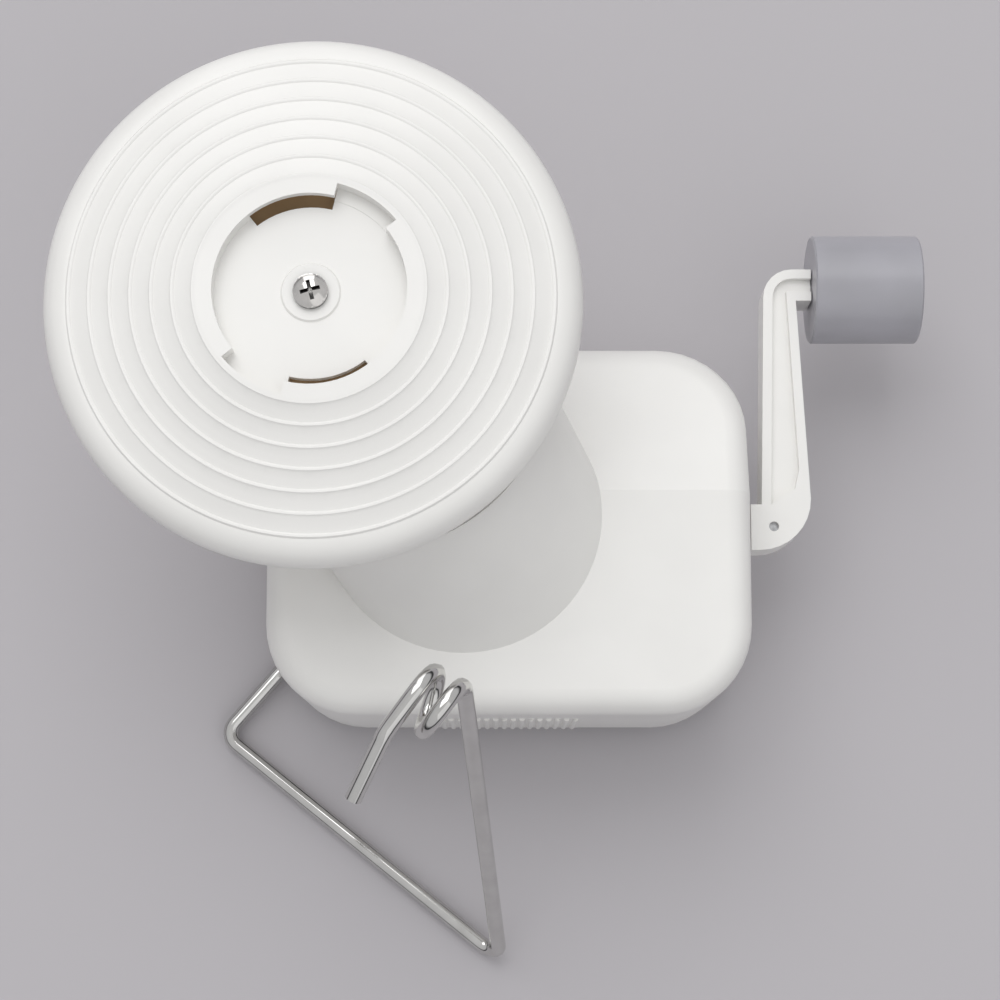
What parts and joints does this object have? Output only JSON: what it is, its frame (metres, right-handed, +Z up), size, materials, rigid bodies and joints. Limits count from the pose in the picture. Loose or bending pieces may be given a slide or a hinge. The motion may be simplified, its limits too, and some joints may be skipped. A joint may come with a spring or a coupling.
{
  "type": "yarn ball winder",
  "caption": "Hand-cranked yarn ball winder: case with a leaning neck, geared wobbling disc, side crank with a knob, and a bent wire yarn guide.",
  "frame": {"origin": "on the table, under the middle of the case's footprint", "axes": "+X towards the crank, +Y to the back, +Z up"},
  "size_m": [0.212, 0.2133, 0.1115],
  "materials": {
    "shell_white": "gloss moulded",
    "tray_white": "satin moulded",
    "gear_nylon": "natural nylon",
    "gear_tan": "tan moulded",
    "knob_grey": "satin moulded",
    "guide_steel": "bright drawn wire",
    "steel": "turned",
    "screw_chrome": "plated",
    "bush_bronze": "sintered",
    "foot_rubber": "moulded"
  },
  "bodies": {
    "case": {"top_shell": "shell_white", "base_tray": "tray_white", "feet": "foot_rubber", "base_screws": "steel", "shaft_bracket": "tray_white", "post_bracket": "tray_white", "bracket_screws": "steel", "crank_bush_outer": "bush_bronze", "crank_bush_inner": "bush_bronze", "rotor_bush_lower": "bush_bronze", "rotor_bush_upper": "bush_bronze", "sun_post": "steel", "sun_gear": "gear_nylon"},
    "crank": {"crank_shaft": "steel", "crown_gear": "gear_nylon", "crank_arm": "shell_white", "arm_pin": "steel", "knob_axle": "steel"},
    "knob": {"knob": "knob_grey", "knob_cap": "knob_grey"},
    "rotor": {"rotor": "shell_white", "rotor_pinion": "gear_nylon", "rotor_clip": "steel", "spindle": "steel", "spindle_washer": "steel", "disc_screw": "screw_chrome"},
    "disc": {"winding_disc": "shell_white", "disc_gear": "gear_tan"},
    "guide": {"guide_wire": "guide_steel", "guide_retainer": "steel"}
  },
  "joints": [
    {"name": "crank_spin", "type": "hinge", "parent": "case", "child": "crank", "pos_m": [-0.008, 0.002, 0.034], "axis": [1, 0, 0], "continuous": true},
    {"name": "knob_spin", "type": "hinge", "parent": "crank", "child": "knob", "pos_m": [0.09, 0.0644, 0.034], "axis": [1, 0, 0], "continuous": true},
    {"name": "rotor_spin", "type": "hinge", "parent": "case", "child": "rotor", "pos_m": [-0.008, 0.002, 0.034], "axis": [-0.3333, 0.3926, 0.8572], "continuous": true},
    {"name": "disc_spin", "type": "hinge", "parent": "rotor", "child": "disc", "pos_m": [-0.045, 0.04558, 0.12915], "axis": [0, 0, 1], "continuous": true},
    {"name": "guide_swing", "type": "hinge", "parent": "case", "child": "guide", "pos_m": [-0.038, -0.006, 0.01], "axis": [0, 0, 1], "range_deg": [-75, 15]}
  ],
  "couplings": [
    {"joint": "rotor_spin", "follows": "crank_spin", "ratio": -3},
    {"joint": "disc_spin", "follows": "crank_spin", "ratio": -1.2162}
  ]
}
